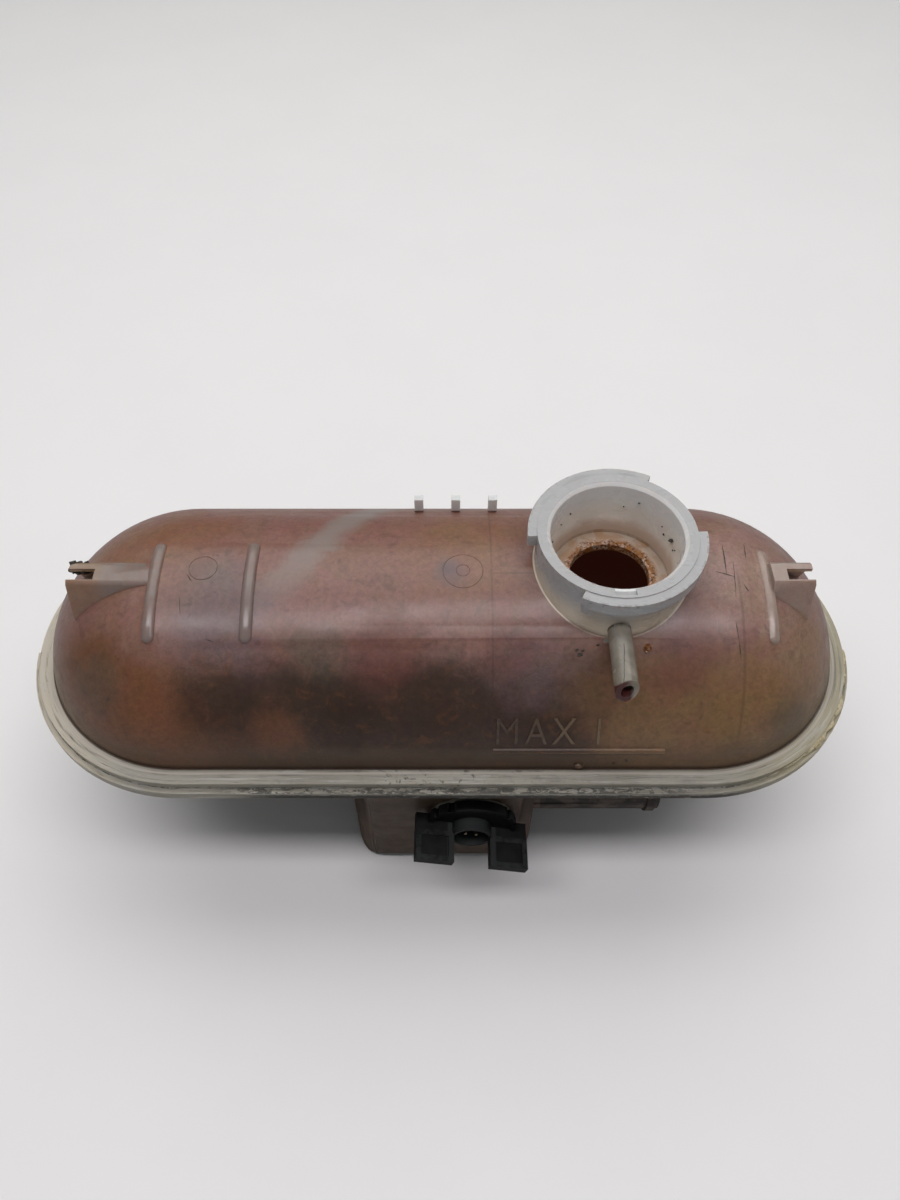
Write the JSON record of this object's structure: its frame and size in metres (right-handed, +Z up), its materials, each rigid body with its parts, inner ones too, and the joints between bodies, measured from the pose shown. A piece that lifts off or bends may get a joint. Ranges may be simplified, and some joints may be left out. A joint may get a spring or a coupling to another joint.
{
  "type": "coolant expansion tank",
  "caption": "Moulded coolant expansion tank with a bayonet filler neck, overflow spigot, hose outlet and a level sensor with a hinged float; cap missing.",
  "frame": {"origin": "on the sump's flat resting face, below the middle of the tank's length and of its dome", "axes": "+X along the tank towards the filler neck, +Y from the sensor side to the back, +Z up, out of the filler neck"},
  "size_m": [0.2944, 0.1291, 0.1374],
  "materials": {
    "upper_plastic": "translucent polypropylene, stained pink-brown by coolant, white at the neck, satin and scuffed",
    "lower_plastic": "translucent polypropylene, paler, with a yellowed flange and grime in the weld line",
    "sensor_plastic": "black moulded plastic, dusty, worn pale on its edges",
    "seal_rubber": "black rubber ring",
    "cast_resin": "dark cast resin",
    "terminal_brass": "tinned brass blade, dull",
    "switch_glass": "clear glass capsule",
    "lead_wire": "plain steel lead",
    "float_foam": "closed-cell foamed plastic, stained",
    "magnet_steel": "sintered magnet"
  },
  "bodies": {
    "root": {"upper_shell": "upper_plastic", "lower_shell": "lower_plastic"},
    "sensor": {"sensor_body": "sensor_plastic", "sensor_seal": "seal_rubber", "sensor_resin": "cast_resin", "terminal_left": "terminal_brass", "terminal_right": "terminal_brass", "switch_capsule": "switch_glass", "switch_leads": "lead_wire"},
    "float": {"sensor_float": "float_foam", "float_magnet": "magnet_steel"}
  },
  "joints": [
    {"name": "sensor_turn", "type": "hinge", "parent": "root", "child": "sensor", "pos_m": [0.0105, -0.05256, 0.041], "axis": [0, -1, 0], "range_deg": [0, 50]},
    {"name": "float_swing", "type": "hinge", "parent": "sensor", "child": "float", "pos_m": [0.0105, -0.01756, 0.041], "axis": [0.9659, 0, -0.2588], "range_deg": [0, 30]}
  ]
}
